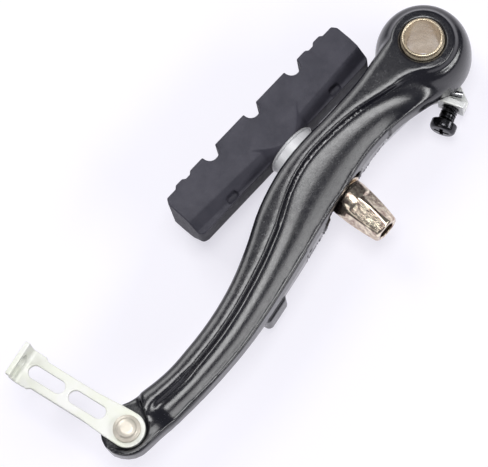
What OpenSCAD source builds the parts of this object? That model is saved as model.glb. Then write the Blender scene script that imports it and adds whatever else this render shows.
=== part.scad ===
// V-brake arm with pivot bushing, return spring, noodle link, brake pad and pad hardware.
// Origin: on the pivot axis at the back seat. +Z: along the pivot to the front face.
// +X: along the pad stud to the rim. +Y: up the arm to the link. Millimetres.

/* [Pivot] */
// Bore of the bushing, which turns on the frame's stud
bore_d = 8; // [7:0.1:9]
// Outer diameter of the bushing
bushing_d = 9.8; // [9.4:0.1:11]
// Length of the bushing, from the back seat to its front face
bushing_len = 20; // [19:0.5:24]
// Chamfer at the front mouth of the bushing's bore
bushing_chamfer = 0.4; // [0.2:0.05:0.7]
// Running clearance between two turning faces
run_clear = 0.05; // [0.03:0.01:0.1]

/* [Boss] */
// Largest radius of the arm's boss
boss_r = 10.8; // [9.8:0.1:12]
// Radius of the flat ring face round the bushing
ring_r = 7.2; // [6.5:0.1:8.5]
// Height of the ring face above the back seat
ring_z = 18.5; // [17:0.25:22]
// Height of the boss's back rim above the back seat
boss_back_z = 1.5; // [1.4:0.1:2.5]
// Depth of the return spring's pocket in the back of the boss
pocket_depth = 4.5; // [4:0.1:5.5]

/* [Arm] */
// Height of the link rivet above the pivot, along the arm
tip_y = 106.5; // [95:0.5:120]
// Sideways place of the link rivet, away from the rim
tip_x = -10.5; // [-14:0.5:-6]
// Radius of the eye at the arm's tip
eye_r = 6; // [5.5:0.1:7]
// Rise of the rail's top above the ring face, where the rail leaves the boss
rail_rise = 0.05; // [-1:0.05:0.1]
// Height of the eye's top
eye_top_z = 14.8; // [14:0.1:15.6]
// Height of the eye's back face
eye_back_z = 8.2; // [7:0.1:9]
// Height of the blade's back face beside the pad slot
blade_back_z = 3.2; // [3:0.1:4]
// Height of the blade's underside behind the neck, over the spring plate's ear
neck_back_z = 7.2; // [7.1:0.1:8]
// Depth of the channel below the rail
channel_depth = 1.7; // [1.2:0.1:2.2]
// Inward draft of the side walls below the parting line
draft = 0.8; // [0.4:0.1:1.2]

/* [Pad slot] */
// Height of the pad stud above the pivot, along the arm
stud_y = 35.8; // [33:0.2:39]
// Height of the pad stud above the back seat
stud_z = 8.6; // [8.4:0.1:9]
// Diameter of the pad stud
stud_d = 6; // [5:0.1:6.2]
// Clearance of the stud in the slot, radial
slot_clear = 0.3; // [0.2:0.05:0.4]
// Travel of the pad up the slot, away from the pivot
slot_up = 4; // [2:0.5:5]
// Travel of the pad down the slot, towards the pivot
slot_down = 1.2; // [1.1:0.1:3]

/* [Pad washers] */
// Outer diameter of the washers on the pad side
washer_in_d = 12.6; // [11:0.1:12.8]
// Thickness of the pair of washers on the pad side
pair_in_t = 3.1; // [2.8:0.1:3.6]
// Outer diameter of the washers on the nut side
washer_out_d = 10; // [9.4:0.1:10.2]
// Thickness of the pair of washers on the nut side
pair_out_t = 2.5; // [2.2:0.1:3]
// Radius of the ball faces between the washers
ball_r = 11; // [10.5:0.5:14]
// Clearance of the stud in the washers, radial
washer_clear = 0.2; // [0.15:0.05:0.4]
// Thickness of the flat washer under the nut
flat_t = 0.8; // [0.6:0.1:1.2]
// Distance of the nut side's seat from the arm's lip
seat_out_depth = 4.3; // [4:0.1:4.6]
// Clearance of the nut side's washers in their recess, radial
seat_clear = 0.15; // [0.1:0.05:0.3]

/* [Pad nut] */
// Length of the pad nut
nut_len = 12.5; // [11:0.5:14]
// Diameter of the nut's base
nut_base_d = 9; // [8.8:0.1:9.6]
// Diameter of the nut's outer end
nut_end_d = 6.6; // [6.2:0.1:7.4]
// Width across the flats at the nut's outer end
nut_flats = 6.1; // [5.8:0.1:6.6]
// Lean of the flats to the nut's axis, in degrees
nut_flat_lean = 6.5; // [5:0.5:8]
// Length of the round collar at the nut's base
nut_collar = 3.4; // [3:0.1:5]
// Width across the flats of the hexagon socket in the nut's end
nut_socket = 4; // [3.5:0.1:4.4]
// Depth of the hexagon socket
nut_socket_depth = 5.6; // [4:0.1:6]

/* [Brake pad] */
// Length of the pad
pad_len = 55; // [50:1:62]
// Width of the pad across the rim's face
pad_w = 13; // [12:0.25:13.4]
// Thickness of the pad from its back to its friction face
pad_t = 11.4; // [9.5:0.1:12]
// Distance of the pad's middle above the stud
pad_offset = 1; // [0:0.25:2]
// Radius of the round boss in the pad's back
pad_boss_r = 8.2; // [7.6:0.1:9]
// Width of the pad's back away from its boss
pad_back_w = 6; // [5:0.25:7]
// Thickness of the pad's full-width part behind the friction face
pad_full_t = 6.9; // [5.4:0.1:7.2]
// Distance between two grooves in the friction face
groove_pitch = 13.3; // [12:0.1:14]
// Width of a groove
groove_w = 3.9; // [2.5:0.1:4.4]
// Depth of a groove
groove_depth = 2.4; // [2:0.1:3.2]
// Depth of the steps at the ends of the friction face
step_depth = 0.6; // [0.4:0.1:1]

/* [Noodle link] */
// Length of the link from its rivet to the face of its nose
link_len = 28; // [25:0.2:30]
// Angle of the link to the X axis
link_angle = 10.4; // [8:0.2:18]
// Radius of the link's round end
link_r = 4; // [3.6:0.1:4.2]
// Width of the link's waist
link_waist = 6.8; // [6.4:0.1:7.4]
// Width of the link's nose
nose_w = 8.2; // [7.8:0.1:9]
// Height of the nose above the link's top face
nose_h = 5.6; // [5.2:0.1:6.5]
// Thickness of the link's sheet
sheet_t = 1.2; // [1:0.05:1.3]
// Depth of the link's turned-down edges below its top face
edge_h = 2.6; // [2:0.1:3.2]
// Width of the link's two long slots
link_slot_w = 3; // [2.6:0.1:3.2]
// Diameter of the hole in the nose that holds the noodle's tip
nose_hole_d = 3.6; // [3:0.1:3.8]
// Height of the noodle's slot into that hole
nose_slot_h = 1.8; // [1.4:0.1:2]
// Depth of the link's seat below the eye's top
link_seat = 2.2; // [1.9:0.1:2.5]
// Swing of the link down the arm, in degrees
link_swing_down = 38; // [30:1:40]
// Swing of the link up and away from the arm, in degrees
link_swing_up = 20; // [10:1:22]

/* [Rivet] */
// Diameter of the rivet's shank
rivet_d = 4; // [3.6:0.1:4.4]
// Diameter of the rivet's front head
rivet_head_d = 6; // [5.6:0.1:6.6]
// Height of the rivet's front head
rivet_head_h = 1.6; // [1.2:0.1:2]

/* [Spring] */
// Diameter of the spring's wire
wire_d = 1.5; // [1.2:0.1:1.6]
// Mean radius of the coil
coil_r = 6; // [5.9:0.05:6.1]
// Distance between two turns of the coil
coil_pitch = 1.6; // [1.6:0.02:1.7]
// Height of the long leg above the back seat
leg_z = 2.05; // [2:0.01:2.1]

/* [Spring plate and screw] */
// Thickness of the spring plate
plate_t = 1.2; // [1:0.05:1.25]
// Radius of the spring plate's disc
plate_r = 8.8; // [8.2:0.1:9.5]
// Angle between the plate's ear and the X axis
ear_turn = 21; // [19:0.5:23]
// Distance of the screw's axis from the pivot
screw_x = 9.4; // [9.3:0.1:9.8]
// Height of the screw's axis above the back seat
screw_z = 3.6; // [3.5:0.05:3.7]
// Diameter of the adjuster screw's thread
screw_d = 3.8; // [3.4:0.1:3.9]
// Length of the screw under its head
screw_len = 5.8; // [5.4:0.1:7]
// Diameter of the screw's head
head_d = 6; // [5.4:0.1:6.2]
// Height of the screw's head
head_h = 2.4; // [2:0.1:2.8]
// Thickness of the ear
ear_t = 1.5; // [1.3:0.1:1.6]
// Diameter of the stop pin for the hole beside the frame's stud
pin_d = 2.5; // [2.2:0.1:2.8]
// Length of the stop pin behind the back seat
pin_len = 2.5; // [2:0.1:4]
// Distance of the stop pin from the pivot
pin_r = 6.8; // [6.7:0.05:6.9]
// Difference in radius between the stop pin and its foot in the plate
pin_foot = 0.2; // [0.1:0.05:0.25]

/* [Hidden] */
fine = 96;
round_fn = 48;
black = [0.07, 0.07, 0.08];
zinc = [0.86, 0.87, 0.84];
gold = [0.78, 0.68, 0.45];

// The arm's shape along its length: each list holds pairs of place (0 at the pivot, 1 at the
// link rivet) and value. Sway is a share of the rivet's sideways place, the rest is in mm.
sway = [[0, 0.176], [0.06, 0.167], [0.11, 0.17], [0.19, 0.155], [0.26, 0.165], [0.34, 0.235],
        [0.41, 0.34], [0.49, 0.54], [0.565, 0.79], [0.64, 1.0], [0.715, 1.14], [0.79, 1.2],
        [0.865, 1.2], [0.94, 1.12], [1, 1.0]];
half_w = [[0, 8.55], [0.06, 8.1], [0.11, 7.2], [0.15, 6.6], [0.19, 6.35], [0.26, 6.45],
          [0.34, 7.3], [0.41, 7.55], [0.49, 7.2], [0.565, 6.15], [0.64, 5.35], [0.715, 4.95],
          [0.79, 4.7], [0.865, 4.65], [0.94, 5.2], [1, eye_r]];
rail_w = [[0, 13.6], [0.04, 12.0], [0.08, 9.5], [0.13, 7.1], [0.19, 4.9], [0.26, 3.8],
          [0.34, 3.8], [0.41, 4.6], [0.49, 6.0], [0.55, 5.4], [0.64, 4.4], [0.79, 4.0],
          [0.9, 4.2], [1, 5.0]];
// Drop of the lip below the rail, in channel depths: large at the boss, where the face slopes
lip_drop = [[0, 3.9], [0.05, 3.3], [0.1, 2.1], [0.15, 1.25], [0.2, 1.0], [0.905, 1.0],
            [0.925, 0.95], [0.95, 0.15], [1, 0]];
floor_drop = [[0, 0.3], [0.04, 0.4], [0.09, 0.8], [0.15, 1.0], [0.905, 1.0], [0.925, 0.9],
              [0.945, 0.1], [1, 0]];
// Share of the way from the rail's height at the boss to the eye's top
top_blend = [[0, 0], [0.07, 0], [0.11, 0.05], [0.19, 0.2], [0.34, 0.34], [0.6, 0.6], [1, 1]];
// Share of the way from the neck's underside to the blade's back, then on to the eye's back
back_blend = [[0, 0], [0.17, 0], [0.25, 0.9], [0.28, 1], [0.5, 1], [0.56, 1]];
eye_blend = [[0.5, 0], [0.64, 0.2], [0.75, 0.5], [0.87, 0.88], [0.94, 1]];

post = stud_d / 2;
rail_z = ring_z + rail_rise;
neck_end = 0.2;
neck_steps = 18;
arm_steps = 32;
end_steps = 10;
eye_steps = 5;
channel_end = 0.9;
pocket_r = coil_r + wire_d / 2 + 0.65;
pocket_top = boss_back_z + pocket_depth;
bushing_r = bushing_d / 2;
neck_window_z = neck_back_z - 0.2;
seat_in_x = pad_x(stud_y / tip_y) - 0.35;
seat_out_x = lip_x(stud_y / tip_y) + seat_out_depth;
pad_back_x = seat_in_x + pair_in_t;
flat_x = seat_out_x - pair_out_t;
nut_x = flat_x - flat_t;
stud_end = nut_x - nut_len + nut_socket_depth - 0.2;
leg_dip = 8;
screw_tip = short_leg_y(screw_x - screw_d / 2 + 0.5) + wire_d / 2 / cos(leg_dip) + 0.05;
ear_near = screw_tip + 0.65;
link_z = eye_top_z - link_seat + run_clear;
link_top = link_z + sheet_t;

// Smooth value of a list of pairs at a place
function slope(v, i) = let(a = max(i - 1, 0), b = min(i + 1, len(v) - 1))
    (v[b][1] - v[a][1]) / (v[b][0] - v[a][0]);
function hermite(v, i, s, w) = v[i][1] * (2 * s * s * s - 3 * s * s + 1)
    + slope(v, i) * w * (s * s * s - 2 * s * s + s)
    + v[i + 1][1] * (3 * s * s - 2 * s * s * s) + slope(v, i + 1) * w * (s * s * s - s * s);
function at(v, f, i = 0) = f <= v[0][0] ? v[0][1]
    : i >= len(v) - 1 ? v[len(v) - 1][1]
    : f <= v[i + 1][0] ? let(w = v[i + 1][0] - v[i][0]) hermite(v, i, (f - v[i][0]) / w, w)
    : at(v, f, i + 1);

function mid_x(f) = tip_x * at(sway, f);
// Half of the arm's width, which follows the eye's circle past the rivet
function half_x(f) = f <= 1 ? at(half_w, f)
    : sqrt(max(eye_r * eye_r - pow((f - 1) * tip_y, 2), 0.01));
function pad_x(f) = mid_x(f) + half_x(f);
function lip_x(f) = mid_x(f) - half_x(f);
function rail_top(f) = rail_z + (eye_top_z - rail_z) * at(top_blend, f);
function back_z(f) = neck_back_z + (blade_back_z - neck_back_z) * at(back_blend, f)
    + (eye_back_z - blade_back_z) * at(eye_blend, f);

// One section of the arm, from the pad side's back edge over the rail and channel to the lip
function section(f) = let(
    k = min(1, half_x(f) / 4.2), p = pad_x(f), l = lip_x(f),
    r = max(p - at(rail_w, f) * k, l + 1.6 * k), w = r - l,
    t = rail_top(f), c = t - channel_depth * at(floor_drop, f), b = back_z(f),
    e = t - channel_depth * at(lip_drop, f), part_z = max(e - 4.2, b + 1.8), dk = draft * k,
    lw = min(1.15 * k, 0.16 * w))
    [for (q = [[p - dk - 1.6 * k, b], [p - dk - 0.6 * k, b + 0.35], [p - dk, b + 1.4],
               [p, part_z], [p, t - 2.2], [p - 0.2 * k, t - 1.15], [p - 0.75 * k, t - 0.4],
               [p - 1.6 * k, t - 0.05], [r + 0.8 * k, t], [r + 0.3 * k, t - 0.18],
               [r, t - 0.55 * (t - c) - 0.1], [r - 0.2 * k, c + 0.05], [r - 0.6 * k, c - 0.14],
               [r - 0.2 * w, c + (e - c) * 0.14 - 0.42], [r - 0.4 * w, c + (e - c) * 0.3 - 0.58],
               [r - 0.6 * w, c + (e - c) * 0.52 - 0.52], [r - 0.77 * w, c + (e - c) * 0.74 - 0.28],
               [l + lw, e + (c - e) * 0.08 - 0.05], [l + 0.5 * lw, e + 0.1],
               [l + 0.17 * lw, e], [l, e - 0.45], [l, part_z], [l + dk, b + 1.4],
               [l + dk + 0.6 * k, b + 0.35], [l + dk + 1.6 * k, b]])
        [q[0], f * tip_y, q[1]]];

// Places of the sections: close steps up the neck, wider ones to the rivet, then round the eye
arm_places = concat(
    [for (i = [0:neck_steps - 1]) neck_end * i / neck_steps],
    [for (i = [0:arm_steps]) neck_end + (channel_end - neck_end) * i / arm_steps],
    [for (i = [1:end_steps]) channel_end + (1 - channel_end) * i / end_steps],
    [for (i = [1:eye_steps]) 1 + eye_r * sin(78 * i / eye_steps) / tip_y]);

// Middle of a ring of points
function ring_mid(g) = [for (c = [0:2]) let(v = [for (p = g) p[c]]) (min(v) + max(v)) / 2];

// Solid through a list of rings that all have the same count of points
module skin(rings) {
    n = len(rings[0]);
    m = len(rings);
    last = (m - 1) * n;
    polyhedron(
        points = concat([for (g = rings) each g], [ring_mid(rings[0]), ring_mid(rings[m - 1])]),
        faces = concat(
            [for (i = [0:n - 1]) [m * n, (i + 1) % n, i]],
            [for (i = [0:n - 1]) [m * n + 1, last + i, last + (i + 1) % n]],
            [for (k = [0:m - 2], i = [0:n - 1])
                let(a = k * n + i, b = k * n + (i + 1) % n, c = b + n) [a, b, c]],
            [for (k = [0:m - 2], i = [0:n - 1])
                let(a = k * n + i, c = k * n + (i + 1) % n + n, d = a + n) [a, c, d]]));
}

// Solid of revolution about the X axis, from an outline of [x, radius] pairs
module turned_x(outline, segments = fine) {
    rotate([0, 90, 0]) rotate_extrude($fn = segments) polygon([for (q = outline) [q[1], q[0]]]);
}

// Points of an arc, used to round an outline
function arc(cx, cy, r, from, to, steps = 8) =
    [for (i = [0:steps]) let(a = from + (to - from) * i / steps) [cx + r * cos(a), cy + r * sin(a)]];

// The boss is widest at bulge_z, and its side ends below the step of the ring face
module boss_solid() {
    bulge_z = 8;
    step_z = ring_z - 1.5;
    shoulder = ring_r + 0.7;
    rotate_extrude($fn = fine)
        polygon(concat(
            [[0, boss_back_z], [boss_r - 1.2, boss_back_z]],
            [for (i = [0:14]) let(t = -40 + 130 * i / 14)
                [shoulder + (boss_r - shoulder) * cos(t), bulge_z + (step_z - bulge_z) * sin(t)]],
            [[ring_r + 0.35, ring_z - 0.9], [ring_r, ring_z - 0.3], [ring_r - 0.3, ring_z],
             [0, ring_z]]));
}

// Catch on the blade's back that holds the end of the spring's long leg
catch_y = 0.61 * tip_y;
catch_len = 7.6;
catch_out = 0.9;
catch_drop = 2.2;
catch_wall = 1.6;
catch_f = catch_y / tip_y;
catch_lean = atan2(lip_x(catch_f + 0.04) - lip_x(catch_f - 0.04), 0.08 * tip_y);
module spring_catch() {
    translate([lip_x(catch_f) + draft, catch_y, back_z(catch_f) - catch_drop])
        rotate([0, 0, -catch_lean])
        linear_extrude(catch_drop + 3.4)
            polygon(concat(
                arc(-catch_out + 1.2, catch_len / 2 - 1.2, 1.2, 90, 180, 4),
                arc(-catch_out + 1.2, -catch_len / 2 + 1.2, 1.2, 180, 270, 4),
                [[catch_wall, -catch_len / 2], [catch_wall, catch_len / 2]]));
}

// Long hole along the stud, with its two ends a travel up and down from the stud
module stud_slot(r, from_x, to_x) {
    for (y = [-slot_down, slot_up])
        translate([from_x, stud_y + y, stud_z]) rotate([0, 90, 0])
            cylinder(r = r, h = to_x - from_x, $fn = round_fn);
    translate([from_x, stud_y - slot_down, stud_z - r])
        cube([to_x - from_x, slot_down + slot_up, 2 * r]);
}

function ray(r, a) = [r * cos(a), r * sin(a)];

// Area that a strip on the rivet sweeps as the link swings between its limits
module link_sweep(w) {
    a = link_angle - link_swing_down;
    b = link_angle + link_swing_up;
    reach = 3 * eye_r;
    polygon([ray(w, a - 90), ray(w, a - 90) + ray(reach, a), ray(reach * 1.4, (a + b) / 2),
             ray(w, b + 90) + ray(reach, b), ray(w, b + 90)]);
}

// Pie slice about the Z axis, for the openings that a turning piece needs
module slice(r, from, to, z0, z1) {
    translate([0, 0, z0]) linear_extrude(z1 - z0)
        polygon(concat([[0, 0]], arc(0, 0, r, from, to, 16)));
}

module arm() {
    far = 40;
    color(black) difference() {
        union() {
            skin([for (f = arm_places) section(f)]);
            boss_solid();
            spring_catch();
        }
        translate([0, 0, -1]) cylinder(r = bushing_r + run_clear, h = ring_z + 2, $fn = fine);
        translate([0, 0, ring_z - 0.4])
            cylinder(r1 = bushing_r + run_clear, r2 = bushing_r + run_clear + 0.5, h = 0.5, $fn = fine);
        translate([0, 0, -1]) cylinder(r = pocket_r, h = pocket_top + 1, $fn = fine);
        difference() {
            slice(boss_r + 12, 112, 212, -1, neck_window_z);
            translate([0, 0, -2]) cylinder(r = pocket_r - 0.6, h = far, $fn = fine);
        }
        stud_slot(post + slot_clear, -far, far);
        stud_slot(washer_out_d / 2 + seat_clear, -far, seat_out_x);
        translate([seat_in_x, stud_y - slot_down - washer_in_d / 2 - 0.5, 0])
            cube([far, slot_down + slot_up + washer_in_d + 1, stud_z + washer_in_d / 2 + 0.3]);
        translate([tip_x, tip_y, 0]) {
            translate([0, 0, eye_back_z - 1]) cylinder(r = rivet_d / 2, h = far, $fn = round_fn);
            translate([0, 0, eye_top_z - link_seat]) cylinder(r = link_r + 0.7, h = far, $fn = fine);
            translate([0, 0, eye_top_z - link_seat]) linear_extrude(far) link_sweep(link_r + 0.7);
        }
    }
}

module pivot_bushing() {
    b = bore_d / 2;
    c = bushing_chamfer;
    color(gold) rotate_extrude($fn = fine)
        polygon([[b, 0], [bushing_r, 0], [bushing_r, bushing_len - 0.3],
                 [bushing_r - 0.3, bushing_len], [b + c, bushing_len], [b, bushing_len - c]]);
}

// Places the spring plate's ear, the screw and the short leg: turned with the ear
module at_ear() {
    rotate([0, 0, ear_turn]) children();
}

module spring_plate() {
    half = screw_d / 2 + 1.1;
    top = screw_z + screw_d / 2 + 0.9;
    color(zinc) difference() {
        union() {
            linear_extrude(plate_t) circle(r = plate_r, $fn = fine);
            at_ear() {
                linear_extrude(plate_t)
                    polygon([[0, 0], [0.6 - plate_r, 0], [-screw_x - half, ear_near - 2],
                             [-screw_x - half, ear_near], [half - screw_x, ear_near],
                             [half - screw_x, 0]]);
                translate([-screw_x - half, 0, 0]) rotate([90, 0, 90]) linear_extrude(2 * half)
                    polygon(concat(
                        [[ear_near - 2, 0]],
                        arc(ear_near + ear_t - 1.6, 1.6, 1.6, -90, 0, 6),
                        [[ear_near + ear_t, top], [ear_near, top], [ear_near, plate_t],
                         [ear_near - 2, plate_t]]));
            }
        }
        translate([0, 0, -1]) cylinder(r = bushing_r, h = plate_t + 2, $fn = fine);
        at_ear() translate([-screw_x, ear_near - 1, screw_z]) rotate([-90, 0, 0])
            cylinder(r = screw_d / 2 + run_clear, h = ear_t + 2, $fn = round_fn);
        translate([0, -pin_r, -1]) cylinder(r = pin_d / 2 + pin_foot, h = plate_t + 2, $fn = round_fn);
    }
}

// Stop pin, whose wider foot is riveted into the plate
module stop_pin() {
    r = pin_d / 2;
    color(zinc) translate([0, -pin_r, 0]) rotate_extrude($fn = round_fn)
        polygon([[0, -pin_len], [r - 0.3, -pin_len], [r, -pin_len + 0.3], [r, 0], [r + pin_foot, 0],
                 [r + pin_foot, plate_t], [0, plate_t]]);
}

// Centre line of the spring: long leg, coil, short leg
coil_turns = 1 + (270 + ear_turn + leg_dip) / 360;
// Place of the short leg's middle in the ear's frame, a distance x towards the screw
function short_leg_y(x) = coil_r * cos(leg_dip) - (x - coil_r * sin(leg_dip)) * tan(leg_dip);
// Point of the long leg beside the catch, a distance along its wall from the catch's middle
function leg_at(y) = let(x = catch_wall + wire_d / 2 + 0.1)
    [lip_x(catch_f) + draft + x * cos(catch_lean) + y * sin(catch_lean),
     catch_y - x * sin(catch_lean) + y * cos(catch_lean), leg_z];
spring_line = concat(
    [leg_at(2.4), leg_at(-catch_len / 2), leg_at(-8) + [0.5, 0, 0],
     [-4.6, stud_y + 4, leg_z], [-4.6, stud_y - 6, leg_z], [-coil_r + 0.4, 8, leg_z]],
    [for (i = [0:30]) let(a = 180 + 360 * coil_turns * i / 30)
        [coil_r * cos(a), coil_r * sin(a), leg_z + coil_pitch * coil_turns * i / 30]],
    [for (d = [3, screw_x + 1.6]) let(x = -d, y = short_leg_y(d))
        [x * cos(ear_turn) - y * sin(ear_turn), x * sin(ear_turn) + y * cos(ear_turn),
         leg_z + coil_pitch * coil_turns]]);

function unit(v) = v / norm(v);
// Ring of points about one point of a line, square to the line's run there
function wire_ring(line, i, r, sides) = let(
    a = line[max(i - 1, 0)], b = line[min(i + 1, len(line) - 1)], d = unit(b - a),
    side = unit(cross([0, 0, 1], d)), up = cross(d, side))
    [for (k = [0:sides - 1]) let(g = 360 * k / sides)
        line[i] + r * cos(g) * side - r * sin(g) * up];

module return_spring() {
    color(zinc) skin([for (i = [0:len(spring_line) - 1]) wire_ring(spring_line, i, wire_d / 2, 10)]);
}

module adjuster_screw() {
    tip = screw_tip;
    seat = tip + screw_len;
    color(black) at_ear() translate([-screw_x, 0, screw_z]) difference() {
        rotate([-90, 0, 0]) rotate_extrude($fn = round_fn)
            polygon(concat(
                [[0, tip], [screw_d / 2 - 0.5, tip], [screw_d / 2, tip + 0.5], [screw_d / 2, seat],
                 [head_d / 2, seat]],
                arc(head_d / 2 - 1.1, seat + head_h - 1.1, 1.1, 0, 60, 6),
                [[0, seat + head_h]]));
        for (a = [0, 90]) rotate([0, a, 0])
            translate([-head_d * 0.3, seat + head_h - 1.3, -0.45]) cube([head_d * 0.6, 2, 0.9]);
    }
}

// Half of the link's outline, from its round end to its nose
link_half = concat(
    [[0, link_r]],
    [[link_r, link_r - 0.15], [link_len * 0.35, link_waist / 2], [link_len - 5.6, link_waist / 2]],
    arc(link_len - 5.6, link_waist / 2 + 1.6, 1.6, -90, -35, 4),
    [[link_len - 3.6, nose_w / 2 - 0.1], [link_len - 3.2, nose_w / 2], [link_len, nose_w / 2]]);

module link() {
    l = link_len;
    h = nose_w / 2;
    mirrored = [for (i = [len(link_half) - 1:-1:0]) [link_half[i][0], -link_half[i][1]]];
    bend = sheet_t + 0.6;
    edge_from = eye_r + 1.6;
    slot_r = link_slot_w / 2;
    slot_run = 6.2;
    color(zinc) translate([tip_x, tip_y, link_z]) rotate([0, 0, link_angle]) difference() {
        union() {
            intersection() {
                linear_extrude(sheet_t) union() {
                    circle(r = link_r, $fn = fine);
                    polygon(concat(link_half, mirrored));
                }
                translate([-l, -l, 0]) cube([2 * l - bend, 2 * l, sheet_t]);
            }
            translate([0, h, 0]) rotate([90, 0, 0]) linear_extrude(2 * h)
                polygon(concat(
                    [[l - bend, 0]], arc(l - bend, bend, bend, -90, 0, 6),
                    [[l, sheet_t + nose_h], [l - sheet_t, sheet_t + nose_h]],
                    arc(l - bend, bend, bend - sheet_t, 0, -90, 4)));
            for (s = [-1, 1])
                translate([edge_from, s == 1 ? link_waist / 2 - sheet_t : -link_waist / 2,
                           sheet_t - edge_h])
                    cube([link_len - 3 - edge_from, sheet_t, edge_h - 0.1]);
        }
        translate([0, 0, -1]) cylinder(r = rivet_d / 2 + run_clear, h = sheet_t + 2, $fn = round_fn);
        for (x = [link_r + 3.3, link_len - slot_r - slot_run - 2.4]) {
            translate([x, 0, -1]) cylinder(r = slot_r, h = sheet_t + 2, $fn = round_fn);
            translate([x + slot_run, 0, -1]) cylinder(r = slot_r, h = sheet_t + 2, $fn = round_fn);
            translate([x, -slot_r, -1]) cube([slot_run, 2 * slot_r, sheet_t + 2]);
        }
        translate([l - bend - 1, 0, sheet_t + nose_h / 2]) rotate([0, 90, 0])
            cylinder(r = nose_hole_d / 2, h = bend + 2, $fn = round_fn);
        translate([l - bend - 1, 0, sheet_t + nose_h / 2 - nose_slot_h / 2])
            cube([bend + 2, h + 1, nose_slot_h]);
    }
}

module link_rivet() {
    r = rivet_d / 2;
    head = rivet_head_d / 2;
    under = link_top + run_clear;
    tail = 0.9;
    color(zinc) translate([tip_x, tip_y, 0]) rotate_extrude($fn = fine)
        polygon(concat(
            [[0, eye_back_z - tail], [head - 0.8, eye_back_z - tail], [head - 0.2, eye_back_z],
             [r, eye_back_z], [r, under], [head, under], [head, under + 0.6]],
            [[head - 0.2, under + 0.8], [head - 0.7, under + 0.85]],
            [[head - 0.85, under + rivet_head_h - 0.25], [head - 1.4, under + rivet_head_h],
             [0, under + rivet_head_h]]));
}

// Two shallow steps near an end of the friction face, from the end at y inwards; way is 1 or -1
function pad_steps(face, y, way) =
    [for (q = [[1, 3.6], [0, 4.2], [0, 6.2], [1, 6.8], [1, 8.2], [0, 8.8]])
        [face - q[0] * step_depth, y + way * q[1]]];

// Side outline of the pad, with the friction face at +X
module pad_outline() {
    mid = stud_y + pad_offset;
    back = pad_back_x;
    face = pad_back_x + pad_t;
    e = pad_len / 2;
    polygon(concat(
        arc(back + 1.4, mid - e + 1.4, 1.4, 270, 180, 5),
        arc(back + 1.4, mid + e - 1.4, 1.4, 180, 90, 5),
        [[face - step_depth * 3, mid + e], [face - step_depth, mid + e - 0.8]],
        pad_steps(face, mid + e, -1),
        let(v = pad_steps(face, mid - e, 1)) [for (i = [len(v) - 1:-1:0]) v[i]],
        [[face - step_depth, mid - e + 0.8], [face - step_depth * 3, mid - e]]));
}

plate_in_pad = [18, 2];
stud_head_r = 4.6;
flank_lean = 2.5;
flank_shoulder = 2.2;

// Outline of what a flank leaves off, from its upper edge to past the pad's back; way is 1 or -1
module pad_flank(depth, way) {
    past = depth + 3;
    polygon([[1, way * (pad_w / 2 + 1)], [0, way * pad_w / 2],
             [-flank_shoulder, way * (pad_w / 2 - 0.6)], [-depth, way * pad_back_w / 2],
             [-past, way * pad_back_w / 2], [-past, way * (pad_w / 2 + 1)]]);
}

// Long hole that a mould pin leaves in a flank
module mould_hole() {
    r = 0.75;
    half = 0.8;
    depth = 3.4;
    for (y = [-half, half])
        translate([0, y, -depth / 2]) cylinder(r = r, h = depth, $fn = 24);
    translate([-r, -half, -depth / 2]) cube([2 * r, 2 * half, depth]);
}

module pad_rubber() {
    mid = stud_y + pad_offset;
    face = pad_back_x + pad_t;
    slope_x = face - pad_full_t;
    color([0.2, 0.2, 0.22]) difference() {
        translate([0, 0, stud_z - pad_w / 2]) linear_extrude(pad_w) difference() {
            pad_outline();
            for (i = [-1, 0, 1]) {
                y = stud_y + 0.4 + i * groove_pitch;
                translate([face - groove_depth + groove_w / 2, y])
                    circle(r = groove_w / 2, $fn = round_fn);
                translate([face - groove_depth + groove_w / 2, y - groove_w / 2])
                    square([groove_depth, groove_w]);
            }
        }
        for (e = [-1, 1], s = [-1, 1]) difference() {
            translate([slope_x, stud_y, stud_z]) rotate([0, 0, -e * flank_lean]) rotate([-e * 90, 0, 0])
                linear_extrude(pad_len) pad_flank(slope_x - pad_back_x, -e * s);
            translate([pad_back_x, stud_y, stud_z]) rotate([0, 90, 0])
                cylinder(r1 = pad_boss_r - 1.6, r2 = pad_boss_r + 2.4, h = slope_x - pad_back_x + 1,
                         $fn = fine);
            translate([pad_back_x - 2, stud_y, stud_z]) rotate([0, 90, 0])
                cylinder(r = pad_boss_r - 1.6, h = 3, $fn = fine);
        }
        translate([pad_back_x - 0.1, stud_y, stud_z]) rotate([0, 90, 0])
            cylinder(r = stud_head_r, h = 2.6, $fn = round_fn);
        translate([pad_back_x + 2.4, stud_y - plate_in_pad[0] / 2, stud_z - 3.4])
            cube([plate_in_pad[1], plate_in_pad[0], 6.8]);
        for (e = [-1, 1], s = [-1, 1])
            translate([pad_back_x + 1, stud_y + 0.7 + e * 16.7, stud_z + s * (pad_back_w / 2 + 1)])
                mould_hole();
    }
}

module pad_stud() {
    color(zinc) union() {
        translate([0, stud_y, stud_z]) turned_x([
            [stud_end, 0], [stud_end, post - 0.5],
            [stud_end + 0.5, post], [pad_back_x, post], [pad_back_x, stud_head_r],
            [pad_back_x + 2.4, stud_head_r], [pad_back_x + 2.4, 0]]);
        translate([pad_back_x + 2.4, stud_y - plate_in_pad[0] / 2, stud_z - 3.4])
            cube([plate_in_pad[1], plate_in_pad[0], 6.8]);
    }
}

// Ball face between two washers: x of the sphere at a radius, for a sphere through the axis at x0
function ball_x(x0, r, way) = x0 + way * (ball_r - sqrt(ball_r * ball_r - r * r));

// Washer with a convex face towards the arm. way is +1 on the pad side, -1 on the nut side
module dome_washer(base_x, way, d, pair_t) {
    r = d / 2;
    hole = post + washer_clear;
    crown = base_x - way * (pair_t - 0.7);
    translate([0, stud_y, stud_z]) turned_x(concat(
        [[base_x, hole], [base_x, r - 0.2]],
        [for (i = [0:8]) let(q = r + (hole - r) * i / 8) [ball_x(crown, q, way), q]]));
}

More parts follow.
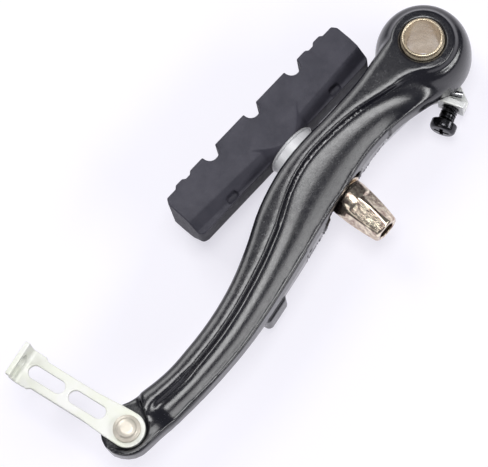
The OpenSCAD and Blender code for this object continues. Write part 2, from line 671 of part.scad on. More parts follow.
// Washer with a concave face towards the dome
module cup_washer(seat_x, way, d, pair_t) {
    r = d / 2 - 0.3;
    hole = post + washer_clear;
    crown = seat_x + way * (0.7 - run_clear);
    translate([0, stud_y, stud_z]) turned_x(concat(
        [[seat_x, hole], [seat_x, r]],
        [for (i = [0:8]) let(q = r + (hole - r) * i / 8) [ball_x(crown, q, way), q]]));
}

module dome_washer_in() { color(zinc) dome_washer(pad_back_x, 1, washer_in_d, pair_in_t); }
module cup_washer_in() { color(zinc) cup_washer(seat_in_x, 1, washer_in_d, pair_in_t); }
module cup_washer_out() { color(gold) cup_washer(seat_out_x, -1, washer_out_d, pair_out_t); }
module dome_washer_out() { color(gold) dome_washer(flat_x, -1, washer_out_d, pair_out_t); }

module flat_washer() {
    r = washer_out_d / 2 - 0.2;
    hole = post + washer_clear;
    color(gold) translate([0, stud_y, stud_z]) turned_x([
        [flat_x, hole], [flat_x, r - 0.15], [flat_x - 0.15, r], [nut_x + 0.15, r],
        [nut_x, r - 0.15], [nut_x, hole]]);
}

// Radius of a hexagon's corners, from half its width across the flats
function hexagon_r(half) = half * 2 / sqrt(3);
// Radius of the corners of the nut's flats, at a distance from its outer end
function flats_r(from_end) = hexagon_r(nut_flats / 2 + from_end * tan(nut_flat_lean));

module pad_nut() {
    end = nut_x - nut_len;
    base = nut_base_d / 2;
    tip = nut_end_d / 2;
    foot = 0.4;
    past = 1;
    cone = base + nut_collar + 1.4;
    color(gold) difference() {
        intersection() {
            translate([0, stud_y, stud_z]) turned_x(concat(
                [[nut_x, 0], [nut_x, base - 0.4], [nut_x - foot, base - 0.12]],
                [for (i = [1:12]) let(s = i / 12)
                    [nut_x - foot - (nut_len - foot - 0.4) * s, base - (base - tip) * pow(s, 1.9)]],
                [[end, tip - 0.35], [end, 0]]));
            translate([0, stud_y, stud_z]) union() {
                translate([nut_x + past, 0, 0]) rotate([0, -90, 0])
                    cylinder(r1 = flats_r(nut_len + past), r2 = flats_r(-past),
                             h = nut_len + 2 * past, $fn = 6);
                translate([nut_x + past, 0, 0]) rotate([0, -90, 0])
                    cylinder(r1 = cone, r2 = 0, h = cone, $fn = fine);
            }
        }
        translate([nut_x + past, stud_y, stud_z]) rotate([0, -90, 0])
            cylinder(r = post + run_clear, h = nut_x + past - stud_end, $fn = round_fn);
        translate([end - past, stud_y, stud_z]) rotate([0, 90, 0])
            cylinder(r = hexagon_r(nut_socket / 2), h = nut_socket_depth + past, $fn = 6);
    }
}

arm();
pivot_bushing();
spring_plate();
stop_pin();
return_spring();
adjuster_screw();
link();
link_rivet();
pad_rubber();
pad_stud();
dome_washer_in();
cup_washer_in();
cup_washer_out();
dome_washer_out();
flat_washer();
pad_nut();
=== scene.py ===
import math

import bmesh
import bpy
import numpy
from mathutils import Matrix, Vector


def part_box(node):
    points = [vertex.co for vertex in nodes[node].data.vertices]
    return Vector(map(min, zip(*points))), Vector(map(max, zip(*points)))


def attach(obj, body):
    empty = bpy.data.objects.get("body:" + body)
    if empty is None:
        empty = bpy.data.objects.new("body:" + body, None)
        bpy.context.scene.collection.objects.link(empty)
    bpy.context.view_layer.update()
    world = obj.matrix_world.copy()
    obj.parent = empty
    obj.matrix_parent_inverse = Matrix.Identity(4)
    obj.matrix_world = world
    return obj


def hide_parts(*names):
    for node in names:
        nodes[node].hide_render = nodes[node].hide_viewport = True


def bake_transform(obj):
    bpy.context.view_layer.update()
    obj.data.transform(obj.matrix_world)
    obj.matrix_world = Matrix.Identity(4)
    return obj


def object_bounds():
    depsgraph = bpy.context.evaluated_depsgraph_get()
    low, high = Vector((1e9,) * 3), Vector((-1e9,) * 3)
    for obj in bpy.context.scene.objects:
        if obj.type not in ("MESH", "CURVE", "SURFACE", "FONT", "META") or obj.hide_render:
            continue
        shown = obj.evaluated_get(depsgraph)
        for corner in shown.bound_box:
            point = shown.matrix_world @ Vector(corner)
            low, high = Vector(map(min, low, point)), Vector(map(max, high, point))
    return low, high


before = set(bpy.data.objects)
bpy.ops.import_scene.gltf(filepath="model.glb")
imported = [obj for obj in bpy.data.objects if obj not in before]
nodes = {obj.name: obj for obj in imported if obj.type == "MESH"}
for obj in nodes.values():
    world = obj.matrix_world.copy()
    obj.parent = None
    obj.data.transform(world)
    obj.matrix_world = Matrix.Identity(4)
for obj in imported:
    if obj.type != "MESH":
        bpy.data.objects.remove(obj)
cad_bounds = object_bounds()

mm = 0.001

# Driving sizes of the part, as its source has them
link_rivet_at = Vector((-10.5, 106.5, 0)) * mm
stud_y = 35.8 * mm
stud_z = 8.6 * mm
ear_turn = math.radians(21)
screw_x = 9.4 * mm
screw_z = 3.6 * mm

# The pad nut's turn about its own axis from where the source has it, as the photograph shows its flats
nut_turn = math.radians(14)

# Smoothing of a forging's fillets: rounds of smoothing, and how far each share spreads over the mesh
FILLET_ROUNDS = 100
SHARE_SPREAD = 4


# Camera: at the photograph's angle, square to a picture that is 488 by 467

PICTURE_WIDTH = 488
FOCAL_PIXELS = 2275
CAMERA_DISTANCE = 500 * mm
CAMERA_TARGET = Vector((1.53, 57.35, 10)) * mm


def make_camera():
    turn, back_tilt, side_tilt = (math.radians(a) for a in (43, 17, 5))
    right = Vector((-math.cos(turn), -math.sin(turn), 0))
    up = Vector((math.sin(turn), -math.cos(turn), 0))
    lift = math.sqrt(1 - math.sin(back_tilt) ** 2 - math.sin(side_tilt) ** 2)
    to_camera = -up * math.sin(back_tilt) + right * math.sin(side_tilt) + Vector((0, 0, lift))
    to_camera.normalize()
    up = (up - up.dot(to_camera) * to_camera).normalized()
    right = up.cross(to_camera)
    data = bpy.data.cameras.new("camera")
    data.sensor_width = 36
    data.lens = data.sensor_width * FOCAL_PIXELS / PICTURE_WIDTH
    data.clip_start = 0.01
    camera = bpy.data.objects.new("camera", data)
    bpy.context.scene.collection.objects.link(camera)
    turned = Matrix((right, up, to_camera)).transposed().to_4x4()
    camera.matrix_world = Matrix.Translation(CAMERA_TARGET + to_camera * CAMERA_DISTANCE) @ turned
    bpy.context.scene.camera = camera


make_camera()


# Floor, world and lamps

LIT_POINT = Vector((0, 0.05, 0.01))


def make_floor(z):
    mesh = bpy.data.meshes.new("floor")
    half = 2.5
    mesh.from_pydata([(-half, -half, z), (half, -half, z), (half, half, z), (-half, half, z)], [],
                     [(0, 1, 2, 3)])
    floor = bpy.data.objects.new("floor", mesh)
    bpy.context.scene.collection.objects.link(floor)
    mat = bpy.data.materials.new("floor_paper")
    mat.use_nodes = True
    tree = mat.node_tree
    paper = tree.nodes["Principled BSDF"]
    paper.inputs["Base Color"].default_value = (0.4, 0.395, 0.41, 1)
    paper.inputs["Roughness"].default_value = 0.9
    paper.inputs["Specular IOR Level"].default_value = 0.1
    paper.inputs["Emission Color"].default_value = (0.93, 0.915, 1, 1)
    path = tree.nodes.new("ShaderNodeLightPath")
    seen = tree.nodes.new("ShaderNodeMath")
    seen.operation = "MAXIMUM"
    tree.links.new(path.outputs["Is Camera Ray"], seen.inputs[0])
    tree.links.new(path.outputs["Is Glossy Ray"], seen.inputs[1])
    lift = tree.nodes.new("ShaderNodeMath")
    lift.operation = "MULTIPLY"
    lift.inputs[1].default_value = 0.66
    tree.links.new(seen.outputs[0], lift.inputs[0])
    tree.links.new(lift.outputs[0], paper.inputs["Emission Strength"])
    mesh.materials.append(mat)


def make_world():
    world = bpy.data.worlds.new("studio")
    bpy.context.scene.world = world
    world.use_nodes = True
    tree = world.node_tree
    tree.nodes.clear()
    out = tree.nodes.new("ShaderNodeOutputWorld")
    mix = tree.nodes.new("ShaderNodeMixShader")
    path = tree.nodes.new("ShaderNodeLightPath")
    room = tree.nodes.new("ShaderNodeBackground")
    room.inputs["Color"].default_value = (0.9, 0.92, 1.0, 1)
    room.inputs["Strength"].default_value = 0.16
    white = tree.nodes.new("ShaderNodeBackground")
    white.inputs["Strength"].default_value = 1.0
    tree.links.new(path.outputs["Is Camera Ray"], mix.inputs[0])
    tree.links.new(room.outputs[0], mix.inputs[1])
    tree.links.new(white.outputs[0], mix.inputs[2])
    tree.links.new(mix.outputs[0], out.inputs["Surface"])


def softbox(name, towards, distance, size, radiance):
    """Lamp that faces the part from a direction, whose surface is as bright as the radiance says."""
    data = bpy.data.lights.new(name, "AREA")
    data.shape = "RECTANGLE"
    data.size, data.size_y = size
    data.energy = radiance * math.pi * size[0] * size[1]
    lamp = bpy.data.objects.new(name, data)
    direction = Vector(towards).normalized()
    lamp.location = LIT_POINT + direction * distance
    lamp.rotation_euler = direction.to_track_quat("Z", "Y").to_euler()
    bpy.context.scene.collection.objects.link(lamp)


make_floor(cad_bounds[0][2] - 0.02 * mm)
make_world()
softbox("softbox_pad_side", (0.85, -0.15, 0.53), 0.8, (0.5, 0.5), 1.5)
softbox("softbox_above", (-0.06, -0.02, 0.998), 0.9, (0.42, 0.36), 7.0)
softbox("softbox_channel_lip", (0.61, -0.05, 0.79), 0.9, (0.42, 0.34), 3.6)
softbox("strip_nut_side", (-0.75, -0.36, 0.54), 0.75, (0.6, 0.15), 9.0)
softbox("softbox_tip_side", (0.1, 0.8, 0.5), 0.8, (0.5, 0.25), 1.6)
bpy.context.scene.view_settings.view_transform = "Standard"


# Shader effects that several finishes share

def group_tree(name, inputs, outputs):
    tree = bpy.data.node_groups.new(name, "ShaderNodeTree")
    for label, kind, value in inputs:
        socket = tree.interface.new_socket(name=label, in_out="INPUT", socket_type=kind)
        socket.default_value = value
    for label, kind in outputs:
        tree.interface.new_socket(name=label, in_out="OUTPUT", socket_type=kind)
    return tree, tree.nodes.new("NodeGroupInput"), tree.nodes.new("NodeGroupOutput")


def object_place(tree):
    return tree.nodes.new("ShaderNodeTexCoord").outputs["Object"]


def make_grain_group():
    """Fine grain of two sizes, as a height from 0 to 1."""
    tree, given, out = group_tree(
        "Grain", [("Scale", "NodeSocketFloat", 2000.0), ("Coarse share", "NodeSocketFloat", 0.3)],
        [("Height", "NodeSocketFloat")])
    place = object_place(tree)
    fine = tree.nodes.new("ShaderNodeTexNoise")
    fine.inputs["Detail"].default_value = 3
    coarse = tree.nodes.new("ShaderNodeTexNoise")
    coarse.inputs["Detail"].default_value = 1
    slower = tree.nodes.new("ShaderNodeMath")
    slower.operation = "MULTIPLY"
    slower.inputs[1].default_value = 0.28
    tree.links.new(given.outputs["Scale"], slower.inputs[0])
    tree.links.new(given.outputs["Scale"], fine.inputs["Scale"])
    tree.links.new(slower.outputs[0], coarse.inputs["Scale"])
    mix = tree.nodes.new("ShaderNodeMix")
    tree.links.new(given.outputs["Coarse share"], mix.inputs["Factor"])
    for noise, socket in ((fine, "A"), (coarse, "B")):
        tree.links.new(place, noise.inputs["Vector"])
        tree.links.new(noise.outputs["Fac"], mix.inputs[socket])
    tree.links.new(mix.outputs[0], out.inputs["Height"])
    return tree


def make_tint_group():
    """Clouds of two colours, with a contrast, as plating and oxide have."""
    tree, given, out = group_tree(
        "Tint", [("Colour A", "NodeSocketColor", (1, 1, 1, 1)), ("Colour B", "NodeSocketColor", (0, 0, 0, 1)),
                 ("Scale", "NodeSocketFloat", 200.0), ("Low", "NodeSocketFloat", 0.35),
                 ("High", "NodeSocketFloat", 0.65)],
        [("Colour", "NodeSocketColor"), ("Mask", "NodeSocketFloat")])
    noise = tree.nodes.new("ShaderNodeTexNoise")
    noise.inputs["Detail"].default_value = 4
    noise.inputs["Distortion"].default_value = 0.4
    spread = tree.nodes.new("ShaderNodeMapRange")
    mix = tree.nodes.new("ShaderNodeMix")
    mix.data_type = "RGBA"
    tree.links.new(object_place(tree), noise.inputs["Vector"])
    tree.links.new(given.outputs["Scale"], noise.inputs["Scale"])
    tree.links.new(noise.outputs["Fac"], spread.inputs["Value"])
    tree.links.new(given.outputs["Low"], spread.inputs["From Min"])
    tree.links.new(given.outputs["High"], spread.inputs["From Max"])
    tree.links.new(spread.outputs["Result"], mix.inputs["Factor"])
    tree.links.new(given.outputs["Colour A"], mix.inputs[6])
    tree.links.new(given.outputs["Colour B"], mix.inputs[7])
    tree.links.new(mix.outputs[2], out.inputs["Colour"])
    tree.links.new(spread.outputs["Result"], out.inputs["Mask"])
    return tree


def make_scratch_group():
    """Long thin marks along one direction, as a value round 0."""
    tree, given, out = group_tree(
        "Scratches", [("Scale", "NodeSocketFloat", 1500.0), ("Turn", "NodeSocketVector", (0, 0, 0)),
                      ("Stretch", "NodeSocketVector", (0.06, 1, 1))],
        [("Height", "NodeSocketFloat")])
    turn = tree.nodes.new("ShaderNodeMapping")
    stretch = tree.nodes.new("ShaderNodeMapping")
    noise = tree.nodes.new("ShaderNodeTexNoise")
    noise.inputs["Detail"].default_value = 5
    tree.links.new(object_place(tree), turn.inputs["Vector"])
    tree.links.new(given.outputs["Turn"], turn.inputs["Rotation"])
    tree.links.new(turn.outputs[0], stretch.inputs["Vector"])
    tree.links.new(given.outputs["Stretch"], stretch.inputs["Scale"])
    tree.links.new(stretch.outputs[0], noise.inputs["Vector"])
    tree.links.new(given.outputs["Scale"], noise.inputs["Scale"])
    tree.links.new(noise.outputs["Fac"], out.inputs["Height"])
    return tree


grain_group = make_grain_group()
tint_group = make_tint_group()
scratch_group = make_scratch_group()


class Finish:
    """A material under construction: its tree, its shader and the effects placed in it."""

    def __init__(self, name, **sockets):
        self.mat = bpy.data.materials.new(name)
        self.mat.use_nodes = True
        self.tree = self.mat.node_tree
        self.shader = self.tree.nodes["Principled BSDF"]
        for label, value in sockets.items():
            self.shader.inputs[label.replace("_", " ")].default_value = value

    def effect(self, group, **values):
        node = self.tree.nodes.new("ShaderNodeGroup")
        node.node_tree = group
        for label, value in values.items():
            node.inputs[label.replace("_", " ")].default_value = value
        return node

    def bump(self, height, distance, strength=1.0):
        node = self.tree.nodes.new("ShaderNodeBump")
        node.inputs["Distance"].default_value = distance
        node.inputs["Strength"].default_value = strength
        self.tree.links.new(height, node.inputs["Height"])
        if self.shader.inputs["Normal"].is_linked:
            before = self.shader.inputs["Normal"].links[0].from_socket
            self.tree.links.new(before, node.inputs["Normal"])
        self.tree.links.new(node.outputs["Normal"], self.shader.inputs["Normal"])

    def colour(self, socket):
        self.tree.links.new(socket, self.shader.inputs["Base Color"])

    def roughness(self, value, low, high):
        spread = self.tree.nodes.new("ShaderNodeMapRange")
        spread.inputs["From Min"].default_value = 0.35
        spread.inputs["From Max"].default_value = 0.65
        spread.inputs["To Min"].default_value = low
        spread.inputs["To Max"].default_value = high
        self.tree.links.new(value, spread.inputs["Value"])
        self.tree.links.new(spread.outputs["Result"], self.shader.inputs["Roughness"])


def black_paint():
    f = Finish("arm_black_paint", Specular_IOR_Level=0.8)
    tint = f.effect(tint_group, Colour_A=(0.005, 0.005, 0.009, 1), Colour_B=(0.008, 0.008, 0.013, 1),
                    Scale=120.0)
    f.colour(tint.outputs["Colour"])
    grain = f.effect(grain_group, Scale=2600.0, Coarse_share=0.35)
    f.bump(grain.outputs["Height"], 0.016 * mm)
    f.roughness(grain.outputs["Height"], 0.17, 0.28)
    return f.mat


def zinc(name, colour_a, colour_b, rough, scale=260.0, mark=0.006, metallic=1.0, vary=0.07):
    """Plated or bare metal. Mark is the depth of its fine marks in mm, vary the spread of its roughness."""
    f = Finish(name, Metallic=metallic)
    tint = f.effect(tint_group, Colour_A=(*colour_a, 1), Colour_B=(*colour_b, 1), Scale=scale)
    f.colour(tint.outputs["Colour"])
    marks = f.effect(scratch_group, Scale=5000.0)
    f.bump(marks.outputs["Height"], mark * mm)
    f.roughness(marks.outputs["Height"], rough - vary, rough + vary)
    return f.mat


def rubber():
    f = Finish("pad_rubber", Specular_IOR_Level=0.35)
    tint = f.effect(tint_group, Colour_A=(0.042, 0.041, 0.056, 1), Colour_B=(0.060, 0.058, 0.076, 1),
                    Scale=160.0)
    f.colour(tint.outputs["Colour"])
    grain = f.effect(grain_group, Scale=3200.0, Coarse_share=0.5)
    f.bump(grain.outputs["Height"], 0.05 * mm)
    f.roughness(grain.outputs["Height"], 0.5, 0.66)
    return f.mat


paint = black_paint()
pad_finish = rubber()
link_zinc = zinc("link_bright_zinc", (0.88, 0.88, 0.85), (0.82, 0.84, 0.73), 0.36, scale=150.0, mark=0.0005,
                 metallic=0.08, vary=0.02)
ear_zinc = zinc("ear_bright_zinc", (0.93, 0.94, 0.93), (0.84, 0.85, 0.82), 0.26, metallic=0.1)
washer_zinc = zinc("washer_silver_zinc", (0.93, 0.93, 0.95), (0.9, 0.9, 0.92), 0.34, metallic=0.15)
nut_zinc = zinc("nut_yellow_zinc", (0.93, 0.84, 0.67), (0.42, 0.31, 0.26), 0.17, scale=900.0, mark=0.02)
bushing_zinc = zinc("bushing_yellow_zinc", (0.82, 0.72, 0.55), (0.64, 0.52, 0.36), 0.26, metallic=0.75)
rivet_steel = zinc("rivet_steel", (0.80, 0.73, 0.63), (0.70, 0.66, 0.57), 0.34, scale=700.0, metallic=0.35,
                   mark=0.003, vary=0.05)
wire_steel = zinc("spring_wire", (0.66, 0.66, 0.67), (0.58, 0.58, 0.6), 0.3)
screw_black = zinc("screw_black_oxide", (0.05, 0.05, 0.055), (0.08, 0.08, 0.085), 0.2)


# Mesh helpers

def add_piece(name, mesh, material):
    piece = bpy.data.objects.new(name, mesh)
    bpy.context.scene.collection.objects.link(piece)
    mesh.materials.clear()
    mesh.materials.append(material)
    return piece


def shade_smooth(mesh):
    mesh.polygons.foreach_set("use_smooth", [True] * len(mesh.polygons))


def applied(piece):
    """The piece with its modifiers turned into plain mesh."""
    depsgraph = bpy.context.evaluated_depsgraph_get()
    mesh = bpy.data.meshes.new_from_object(piece.evaluated_get(depsgraph))
    piece.modifiers.clear()
    piece.data = mesh
    return piece


def spread(mesh, shares, times):
    """Shares of the vertices, each averaged with its neighbours' some times over."""
    ends = numpy.empty(2 * len(mesh.edges), int)
    mesh.edges.foreach_get("vertices", ends)
    a, b = ends[::2], ends[1::2]
    total = len(shares)
    count = 1 + numpy.bincount(a, minlength=total) + numpy.bincount(b, minlength=total)
    for _ in range(times):
        shares = (shares + numpy.bincount(a, shares[b], total) + numpy.bincount(b, shares[a], total)) / count
    return shares


def softened(name, node, material, voxel, rounds, keep=1.0, blend=None):
    """A copy of a CAD node whose sharp edges are rounded as a casting's or a moulding's are.

    Blend gives each vertex a share of a much stronger smoothing, for the fillets of a forging.
    """
    mesh = nodes[node].data.copy()
    bm = bmesh.new()
    bm.from_mesh(mesh)
    bmesh.ops.remove_doubles(bm, verts=bm.verts, dist=0.0005 * mm)
    bm.to_mesh(mesh)
    bm.free()
    piece = add_piece(name, mesh, material)
    remesh = piece.modifiers.new("remesh", "REMESH")
    remesh.mode = "VOXEL"
    remesh.voxel_size = voxel
    if blend:
        applied(piece)
        group = piece.vertex_groups.new(name="blend")
        shares = numpy.array([blend(vertex.co / mm, vertex.normal) for vertex in piece.data.vertices])
        for index, share in enumerate(spread(piece.data, shares, SHARE_SPREAD)):
            if share > 0.001:
                group.add([index], float(share), "REPLACE")
        fillet = piece.modifiers.new("fillet", "SMOOTH")
        fillet.factor = 0.5
        fillet.iterations = FILLET_ROUNDS
        fillet.vertex_group = group.name
    smooth = piece.modifiers.new("smooth", "SMOOTH")
    smooth.factor = 0.5
    smooth.iterations = rounds
    if keep < 1:
        fewer = piece.modifiers.new("fewer", "DECIMATE")
        fewer.ratio = keep
    applied(piece)
    shade_smooth(piece.data)
    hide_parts(node)
    return piece


def round_corners(outline, radius, steps=4):
    """The outline with each inner corner rounded; the two end points stay."""
    result = [outline[0]]
    for before, corner, after in zip(outline, outline[1:], outline[2:]):
        a, b = (Vector(before) - Vector(corner)), (Vector(after) - Vector(corner))
        r = min(radius, a.length * 0.45, b.length * 0.45)
        start, end = Vector(corner) + a.normalized() * r, Vector(corner) + b.normalized() * r
        for i in range(steps + 1):
            t = i / steps
            result.append(tuple(start * (1 - t) ** 2 + 2 * Vector(corner) * t * (1 - t) + end * t * t))
    return result + [outline[-1]]


def lathe(name, outline, place, material, fillet=0.15, segments=96):
    """Turned piece from an outline of (radius, height) in mm, about the Z axis of place."""
    points = round_corners(outline, fillet) if fillet else outline
    bm = bmesh.new()
    rings = []
    for radius, height in points:
        if radius < 1e-6:
            rings.append([bm.verts.new((0, 0, height * mm))])
            continue
        rings.append([bm.verts.new((radius * mm * math.cos(2 * math.pi * i / segments),
                                    radius * mm * math.sin(2 * math.pi * i / segments), height * mm))
                      for i in range(segments)])
    pairs = list(zip(rings, rings[1:]))
    if points[0][0] > 1e-6:
        pairs.append((rings[-1], rings[0]))
    for low, high in pairs:
        for i in range(segments):
            j = (i + 1) % segments
            face = [low[i % len(low)], low[j % len(low)], high[j % len(high)], high[i % len(high)]]
            face = list(dict.fromkeys(face))
            if len(face) > 2:
                bm.faces.new(face)
    bmesh.ops.recalc_face_normals(bm, faces=bm.faces)
    mesh = bpy.data.meshes.new(name)
    bm.to_mesh(mesh)
    bm.free()
    mesh.transform(place)
    shade_smooth(mesh)
    mesh.set_sharp_from_angle(angle=math.radians(40))
    return add_piece(name, mesh, material)


# Screw threads: a ridge that winds round a core

def make_thread_tree():
    tree = bpy.data.node_groups.new("Thread ridge", "GeometryNodeTree")
    for label, kind in (("Radius", "NodeSocketFloat"), ("Depth", "NodeSocketFloat"),
                        ("Turns", "NodeSocketFloat"), ("Length", "NodeSocketFloat"),
                        ("Finish", "NodeSocketMaterial")):
        tree.interface.new_socket(name=label, in_out="INPUT", socket_type=kind)
    tree.interface.new_socket(name="Ridge", in_out="OUTPUT", socket_type="NodeSocketGeometry")
    given = tree.nodes.new("NodeGroupInput")
    out = tree.nodes.new("NodeGroupOutput")
    helix = tree.nodes.new("GeometryNodeCurveSpiral")
    helix.inputs["Resolution"].default_value = 40
    profile = tree.nodes.new("GeometryNodeCurvePrimitiveCircle")
    profile.inputs["Resolution"].default_value = 4
    sweep = tree.nodes.new("GeometryNodeCurveToMesh")
    sweep.inputs["Fill Caps"].default_value = True
    whole = tree.nodes.new("GeometryNodeRealizeInstances")
    finish = tree.nodes.new("GeometryNodeSetMaterial")
    link = tree.links.new
    link(given.outputs["Turns"], helix.inputs["Rotations"])
    link(given.outputs["Radius"], helix.inputs["Start Radius"])
    link(given.outputs["Radius"], helix.inputs["End Radius"])
    link(given.outputs["Length"], helix.inputs["Height"])
    link(given.outputs["Depth"], profile.inputs["Radius"])
    link(helix.outputs["Curve"], sweep.inputs["Curve"])
    link(profile.outputs["Curve"], sweep.inputs["Profile Curve"])
    link(sweep.outputs["Mesh"], whole.inputs["Geometry"])
    link(whole.outputs["Geometry"], finish.inputs["Geometry"])
    link(given.outputs["Finish"], finish.inputs["Material"])
    link(finish.outputs["Geometry"], out.inputs["Ridge"])
    return tree


thread_tree = make_thread_tree()


def thread(name, place, radius, depth, pitch, length, material):
    """Ridge whose crest is at the radius, from the place's origin along its Z axis. Sizes in mm."""
    piece = add_piece(name, bpy.data.meshes.new(name), material)
    modifier = piece.modifiers.new("thread", "NODES")
    modifier.node_group = thread_tree
    sizes = {"Radius": (radius - depth) * mm, "Depth": depth * mm, "Turns": length / pitch,
             "Length": length * mm, "Finish": material}
    for item in thread_tree.interface.items_tree:
        if item.in_out == "INPUT":
            modifier[item.identifier] = sizes[item.name]
    applied(piece)
    piece.data.transform(place)
    shade_smooth(piece.data)
    piece.data.set_sharp_from_angle(angle=math.radians(50))
    return piece


# Pieces

def rise(value, start, end):
    """Share from 0 to 1 of the way of a value from start to end, eased at both."""
    t = min(max((value - start) / (end - start), 0), 1)
    return t * t * (3 - 2 * t)


def forging_share(point, normal):
    """Where the forging is smooth: its gently sloped faces, the neck beside the ring face, and the tip."""
    radius = math.hypot(point.x, point.y)
    face = rise(normal.z, 0.86, 0.95) * rise(radius, 8.2, 9.5) * rise(-point.y, -94, -88)
    # The ring's edge stays crisp on the nut side, where it takes the light
    towards_nut = -(0.977 * point.x + 0.227 * point.y) / max(radius, 1)
    shoulder = rise(radius, 7.3, 8.0) * rise(-radius, -12, -10.5) * rise(point.z, 13, 15) * (
        1 - 0.8 * rise(towards_nut, 0.5, 0.8))
    neck = (rise(radius, 7.8, 9.0) * rise(-radius, -19, -14) * rise(point.y, 1.0, 4.0)
            * rise(point.z, 8.5, 11.0) * rise(-point.x, 2.5, 4.5))
    tip_radius = math.hypot(point.x + 10.5, point.y - 106.5)
    tip = rise(point.y, 86, 91) * rise(tip_radius, 5.8, 6.6) * rise(point.z, 10.5, 12)
    return max(0.6 * face, 0.8 * shoulder, neck, tip)


def make_castings():
    arm = softened("arm_forging", "arm", paint, 0.24 * mm, 5, keep=0.5, blend=forging_share)
    # Room for the nut side's washer, which slides along the face beside the slot
    reach_y, reach_z, room = 16 * mm, 8 * mm, 0.2 * mm
    for vertex in arm.data.vertices:
        beside_slot = abs(vertex.co.y - stud_y) < reach_y and abs(vertex.co.z - stud_z) < reach_z
        if beside_slot and vertex.normal.x < -0.8:
            vertex.co.x += room
    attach(arm, "arm")
    pad = softened("pad_moulding", "pad_rubber", pad_finish, 0.2 * mm, 4, keep=0.8)
    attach(pad, "pad")


def make_sheet_pieces():
    link = softened("noodle_link", "link", link_zinc, 0.13 * mm, 3)
    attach(link, "link")
    plate = softened("spring_plate_stamping", "spring_plate", ear_zinc, 0.14 * mm, 3)
    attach(plate, "root")
    nut = softened("pad_nut_tapered", "pad_nut", nut_zinc, 0.12 * mm, 3)
    axis = Matrix.Translation((0, stud_y, stud_z))
    nut.data.transform(axis @ Matrix.Rotation(nut_turn, 4, "X") @ axis.inverted())
    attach(nut, "pad")


def make_bushing():
    _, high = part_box("pivot_bushing")
    outer, length, bore, edge = high[0] / mm, high[2] / mm, 4.0, 0.12
    # The front rim is narrower than the source's, as the photograph shows a thin one with a gap round it
    rim, rim_foot, rim_top = 4.55, 1.6, 1.2
    bushing = lathe("pivot_bushing_turned",
                    [(bore, 0), (outer, 0), (outer, length - rim_foot), (rim, length - rim_top),
                     (rim, length - edge), (rim - edge, length), (bore + edge, length), (bore, length - edge)],
                    Matrix.Identity(4), bushing_zinc, fillet=0.08)
    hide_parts("pivot_bushing")
    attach(bushing, "root")


def make_rivet():
    low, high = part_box("link_rivet")
    bottom, top = low[2] / mm, high[2] / mm
    under = top - 1.6
    rivet = lathe("link_rivet_stepped",
                  [(0, bottom), (2.2, bottom), (2.8, bottom + 0.9), (2.0, bottom + 0.9), (2.0, under),
                   (3.0, under), (3.0, under + 0.7), (2.25, under + 0.95), (2.0, top - 0.2), (1.3, top),
                   (0, top)],
                  Matrix.Translation(link_rivet_at), rivet_steel, fillet=0.16)
    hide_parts("link_rivet")
    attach(rivet, "arm")


def boolean_cut(piece, cutters):
    for cutter in cutters:
        cut = piece.modifiers.new("cut", "BOOLEAN")
        cut.operation = "DIFFERENCE"
        cut.solver = "EXACT"
        cut.object = cutter
    applied(piece)
    for cutter in cutters:
        bpy.data.objects.remove(cutter)


def box_piece(name, low, high, place):
    bm = bmesh.new()
    bmesh.ops.create_cube(bm, size=1)
    for v in bm.verts:
        v.co = Vector([(low[i] + (v.co[i] + 0.5) * (high[i] - low[i])) * mm for i in range(3)])
    mesh = bpy.data.meshes.new(name)
    bm.to_mesh(mesh)
    bm.free()
    mesh.transform(place)
    return add_piece(name, mesh, paint)


def make_adjuster_screw():
    tip, length, thread_r, core_r, head_r, head_h = 5.742, 5.8, 1.9, 1.5, 3.0, 2.4
    seat = tip + length
    ear = Matrix.Rotation(ear_turn, 4, "Z")
    place = ear @ Matrix.Translation((-screw_x, 0, screw_z)) @ Matrix.Rotation(-math.pi / 2, 4, "X")
    dome = [(head_r - 1.1 + 1.1 * math.cos(a), seat + head_h - 1.1 + 1.1 * math.sin(a))
            for a in (math.radians(d) for d in range(0, 70, 10))]
    screw = lathe("adjuster_screw_shank",
                  [(0, tip), (core_r - 0.3, tip), (core_r, tip + 0.3), (core_r, seat)] +
                  [(head_r - 0.15, seat), (head_r, seat + 0.15)] + dome + [(0, seat + head_h)],
                  place, screw_black, fillet=0.05, segments=64)
    top = seat + head_h
    wide, long = 0.42, 1.75
    boolean_cut(screw, [box_piece("slot_a", (-long, -wide, top - 1.3), (long, wide, top + 1), place),
                        box_piece("slot_b", (-wide, -long, top - 1.3), (wide, long, top + 1), place)])
    shade_smooth(screw.data)
    screw.data.set_sharp_from_angle(angle=math.radians(35))
    ridge = thread("adjuster_screw_thread", place @ Matrix.Translation((0, 0, (tip + 0.4) * mm)),
                   thread_r, 0.3, 0.6, length - 0.5, screw_black)
    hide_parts("adjuster_screw")
    for piece in (screw, ridge):
        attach(piece, "adjuster")


# Bends of the return spring's long leg in mm, from the catch to where it reaches the coil
SPRING_LEG = [(-12.514, 67.747), (-11.46, 61.637), (-10.245, 57.498), (-4.6, 39.8), (-4.6, 29.8), (-5.6, 8.0)]


def rounded_line(points, radius, steps=6):
    """The line with each inner bend rounded; the two end points stay."""
    result = [points[0]]
    for before, bend, after in zip(points, points[1:], points[2:]):
        start = bend + (before - bend).normalized() * radius
        end = bend + (after - bend).normalized() * radius
        for i in range(steps + 1):
            t = i / steps
            result.append(start * (1 - t) ** 2 + 2 * bend * t * (1 - t) + end * t * t)
    return result + [points[-1]]


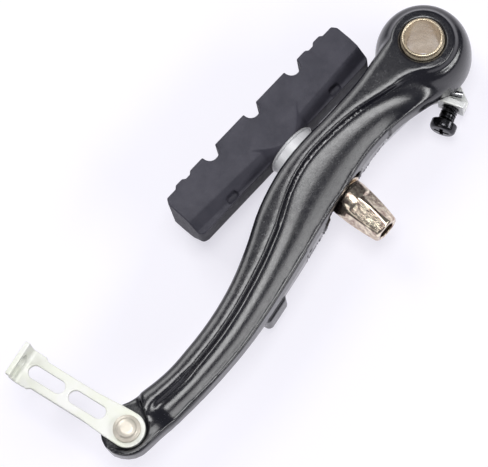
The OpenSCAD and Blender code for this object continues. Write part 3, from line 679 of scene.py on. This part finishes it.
def make_spring():
    """Wire from the catch down behind the arm, round the bushing and out to the adjuster screw."""
    wire_r, coil_r, low, pitch, dip = 0.75, 6.0, 2.05, 1.6, math.radians(8)
    turns = 1 + (270 + math.degrees(ear_turn) + 8) / 360
    leg = [Vector((x, y, low)) for x, y in SPRING_LEG]
    top = low + pitch * turns
    coil = []
    for i in range(129):
        a = math.pi + 2 * math.pi * turns * i / 128
        coil.append(Vector((coil_r * math.cos(a), coil_r * math.sin(a), low + (top - low) * i / 128)))
    turned = Matrix.Rotation(ear_turn, 4, "Z")
    out = [turned @ Vector((-d, coil_r * math.cos(dip) - (d - coil_r * math.sin(dip)) * math.tan(dip), top))
           for d in (3.0, 7.0, 11.0)]
    line = rounded_line(leg, 1.5) + coil + out
    sides = 16
    bm = bmesh.new()
    rings = []
    for i, point in enumerate(line):
        run = (line[min(i + 1, len(line) - 1)] - line[max(i - 1, 0)]).normalized()
        side = Vector((0, 0, 1)).cross(run).normalized()
        up = run.cross(side)
        rings.append([bm.verts.new((point + wire_r * (math.cos(g) * side + math.sin(g) * up)) * mm)
                      for g in (2 * math.pi * k / sides for k in range(sides))])
    for a, b in zip(rings, rings[1:]):
        for k in range(sides):
            j = (k + 1) % sides
            bm.faces.new((a[k], a[j], b[j], b[k]))
    for ring in (rings[0], rings[-1]):
        bm.faces.new(ring)
    bmesh.ops.recalc_face_normals(bm, faces=bm.faces)
    mesh = bpy.data.meshes.new("return_spring_wire")
    bm.to_mesh(mesh)
    bm.free()
    shade_smooth(mesh)
    mesh.set_sharp_from_angle(angle=math.radians(50))
    wire = add_piece("return_spring_wire", mesh, wire_steel)
    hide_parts("return_spring")
    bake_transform(wire)


def make_stud():
    low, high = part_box("pad_stud")
    along = Matrix.Translation((0, stud_y, stud_z)) @ Matrix.Rotation(math.pi / 2, 4, "Y")
    outer, core = 3.0, 2.55
    end, back = low[0] / mm, high[0] / mm - 4.4
    stud = lathe("pad_stud_rod", [(0, end), (core - 0.4, end), (core, end + 0.5), (core, back), (4.6, back),
                                  (4.6, back + 2.4), (0, back + 2.4)],
                 along, rivet_steel, fillet=0.1)
    plate = box_piece("pad_stud_plate", (back + 2.4, -9.0, -3.4), (back + 4.4, 9.0, 3.4),
                      Matrix.Translation((0, stud_y, stud_z)))
    plate.data.materials[0] = rivet_steel
    ridge = thread("pad_stud_thread", along @ Matrix.Translation((0, 0, (end + 0.6) * mm)), outer, 0.42, 1.0,
                   back - end - 0.8, rivet_steel)
    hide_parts("pad_stud")
    for piece in (stud, plate, ridge):
        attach(piece, "pad")


make_castings()
make_sheet_pieces()
make_bushing()
make_rivet()
make_adjuster_screw()
make_spring()
make_stud()

for node, finish in (("stop_pin", rivet_steel), ("dome_washer_in", washer_zinc), ("cup_washer_in", washer_zinc),
                     ("cup_washer_out", nut_zinc), ("dome_washer_out", nut_zinc), ("flat_washer", nut_zinc)):
    for slot in nodes[node].material_slots:
        slot.material = finish
